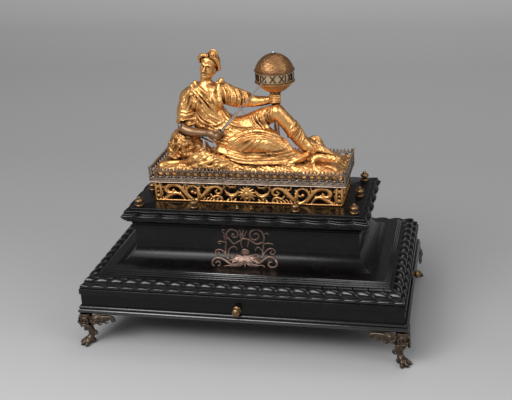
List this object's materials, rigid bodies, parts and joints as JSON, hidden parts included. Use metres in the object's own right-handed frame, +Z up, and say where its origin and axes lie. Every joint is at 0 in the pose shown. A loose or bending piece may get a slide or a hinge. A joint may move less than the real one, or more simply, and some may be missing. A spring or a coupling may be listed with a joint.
{
  "type": "automaton clock",
  "caption": "Table clock in a stepped black case on claw feet, with a reclining figure whose pointer tells the hour on a turning globe band.",
  "frame": {"origin": "on the floor under the middle of the case", "axes": "+X along the front to the viewer's right, front faces -Y, +Z up"},
  "size_m": [0.3449, 0.2129, 0.2945],
  "materials": {
    "ebony": "polished",
    "dark_bronze": "dull, darkened",
    "bronze": "satin, browned",
    "old_silver": "dull, tarnished",
    "gilt": "fire-gilt, satin",
    "silver": "engraved, tarnished",
    "pale_gilt": "worn gilding",
    "globe_gilt": "engraved, brown gilt",
    "steel": "filed, oiled",
    "brass": "brushed",
    "bell_metal": "turned"
  },
  "bodies": {
    "case": {"base_board": "ebony", "bottom_moulding": "ebony", "plinth_walls": "ebony", "plinth_cornice": "ebony", "plinth_waves": "ebony", "plinth_top": "ebony", "cove_case": "ebony", "cap_crown": "ebony", "cap_waves": "ebony", "cap_board": "ebony", "claw_feet": "dark_bronze", "finials": "bronze", "cap_pegs": "bronze", "lock_plate": "old_silver", "frieze_front": "gilt", "frieze_back": "gilt", "frieze_ends": "gilt", "figure_head": "gilt", "figure_left_arm": "gilt", "figure_torso": "gilt", "figure_left_leg": "gilt", "figure_skirt": "gilt", "mound": "gilt", "ground_cast": "gilt", "gallery_front": "silver", "gallery_back": "silver", "gallery_ends": "silver", "globe_upper": "globe_gilt", "globe_lower": "globe_gilt", "globe_stem": "globe_gilt", "deck_plate": "steel", "elbow_pin": "steel", "globe_core": "steel", "clicks": "steel", "lower_plate": "brass", "upper_plate": "brass", "movement_pillars": "brass", "escapement_cocks": "brass", "bell": "bell_metal"},
    "going_barrel": {"going_barrel": "brass"},
    "going_arbor": {"going_arbor": "steel"},
    "strike_barrel": {"strike_barrel": "brass"},
    "strike_arbor": {"strike_arbor": "steel"},
    "centre_wheel": {"centre_wheel": "brass"},
    "contrate_wheel": {"contrate_wheel": "brass"},
    "crown_wheel": {"crown_wheel": "brass"},
    "balance": {"balance": "brass"},
    "hour_dial": {"hour_ring": "silver", "dial_tube": "steel"},
    "pin_wheel": {"pin_wheel": "brass"},
    "fly": {"fly": "brass"},
    "count_wheel": {"count_wheel": "brass"},
    "hammer": {"hammer": "steel"},
    "arm_rod": {"arm_rod": "steel"},
    "right_forearm": {"right_forearm": "pale_gilt", "pointer_holder": "steel", "thumb_screw": "steel"},
    "pointer_wire": {"pointer_wire": "steel"},
    "front_knob": {"front_knob": "bronze"},
    "side_knob": {"side_knob": "bronze"}
  },
  "joints": [
    {"name": "going_barrel_turn", "type": "hinge", "parent": "case", "child": "going_barrel", "pos_m": [0.058, -0.006, 0.07], "axis": [0, 0, 1], "continuous": true},
    {"name": "going_winding", "type": "hinge", "parent": "case", "child": "going_arbor", "pos_m": [0.058, -0.006, 0.07], "axis": [0, 0, 1], "continuous": true},
    {"name": "strike_barrel_turn", "type": "hinge", "parent": "case", "child": "strike_barrel", "pos_m": [-0.04, -0.006, 0.07], "axis": [0, 0, 1], "continuous": true},
    {"name": "strike_winding", "type": "hinge", "parent": "case", "child": "strike_arbor", "pos_m": [-0.04, -0.006, 0.07], "axis": [0, 0, 1], "continuous": true},
    {"name": "centre_wheel_turn", "type": "hinge", "parent": "case", "child": "centre_wheel", "pos_m": [0.03502, 0.01328, 0.08], "axis": [0, 0, 1], "continuous": true},
    {"name": "contrate_wheel_turn", "type": "hinge", "parent": "case", "child": "contrate_wheel", "pos_m": [0.05757, 0.02149, 0.08], "axis": [0, 0, 1], "continuous": true},
    {"name": "crown_wheel_turn", "type": "hinge", "parent": "case", "child": "crown_wheel", "pos_m": [0.07377, 0.02149, 0.08674], "axis": [1, 0, 0], "continuous": true},
    {"name": "balance_swing", "type": "hinge", "parent": "case", "child": "balance", "pos_m": [0.08377, 0.02149, 0.08], "axis": [0, 0, 1], "range_deg": [-50, 50]},
    {"name": "hour_dial_turn", "type": "hinge", "parent": "case", "child": "hour_dial", "pos_m": [0.028, 0, 0.15], "axis": [0, 0, 1], "continuous": true},
    {"name": "pin_wheel_turn", "type": "hinge", "parent": "case", "child": "pin_wheel", "pos_m": [-0.01702, 0.01328, 0.08], "axis": [0, 0, 1], "continuous": true},
    {"name": "fly_turn", "type": "hinge", "parent": "case", "child": "fly", "pos_m": [-0.03957, 0.02149, 0.08], "axis": [0, 0, 1], "continuous": true},
    {"name": "count_wheel_turn", "type": "hinge", "parent": "case", "child": "count_wheel", "pos_m": [-0.0706, -0.006, 0.1], "axis": [0, 0, 1], "continuous": true},
    {"name": "hammer_swing", "type": "hinge", "parent": "case", "child": "hammer", "pos_m": [-0.004, -0.012, 0.12], "axis": [0, 0, 1], "range_deg": [0, 10], "stiffness_Nm_per_rad": 0.02},
    {"name": "arm_lift", "type": "hinge", "parent": "case", "child": "right_forearm", "pos_m": [-0.071, -0.009, 0.217], "axis": [0, -1, 0], "range_deg": [0, 10]},
    {"name": "arm_rod_lift", "type": "slide", "parent": "case", "child": "arm_rod", "axis": [0, 0, 1], "range_m": [0, 0.0046]},
    {"name": "pointer_slide", "type": "slide", "parent": "right_forearm", "child": "pointer_wire", "axis": [-0.6657, 0, -0.7462], "range_m": [0, 0.012]},
    {"name": "front_knob_pull", "type": "slide", "parent": "case", "child": "front_knob", "axis": [0, -1, 0], "range_m": [0, 0.006]},
    {"name": "side_knob_pull", "type": "slide", "parent": "case", "child": "side_knob", "axis": [1, 0, 0], "range_m": [0, 0.006]}
  ],
  "couplings": [
    {"joint": "centre_wheel_turn", "follows": "going_barrel_turn", "ratio": -4},
    {"joint": "contrate_wheel_turn", "follows": "going_barrel_turn", "ratio": 16},
    {"joint": "crown_wheel_turn", "follows": "going_barrel_turn", "ratio": -48},
    {"joint": "hour_dial_turn", "follows": "going_barrel_turn", "ratio": -0.41667},
    {"joint": "pin_wheel_turn", "follows": "strike_barrel_turn", "ratio": -4},
    {"joint": "fly_turn", "follows": "strike_barrel_turn", "ratio": 16},
    {"joint": "count_wheel_turn", "follows": "strike_barrel_turn", "ratio": -0.41667},
    {"joint": "arm_rod_lift", "follows": "arm_lift", "m_per_rad": 0.026}
  ]
}
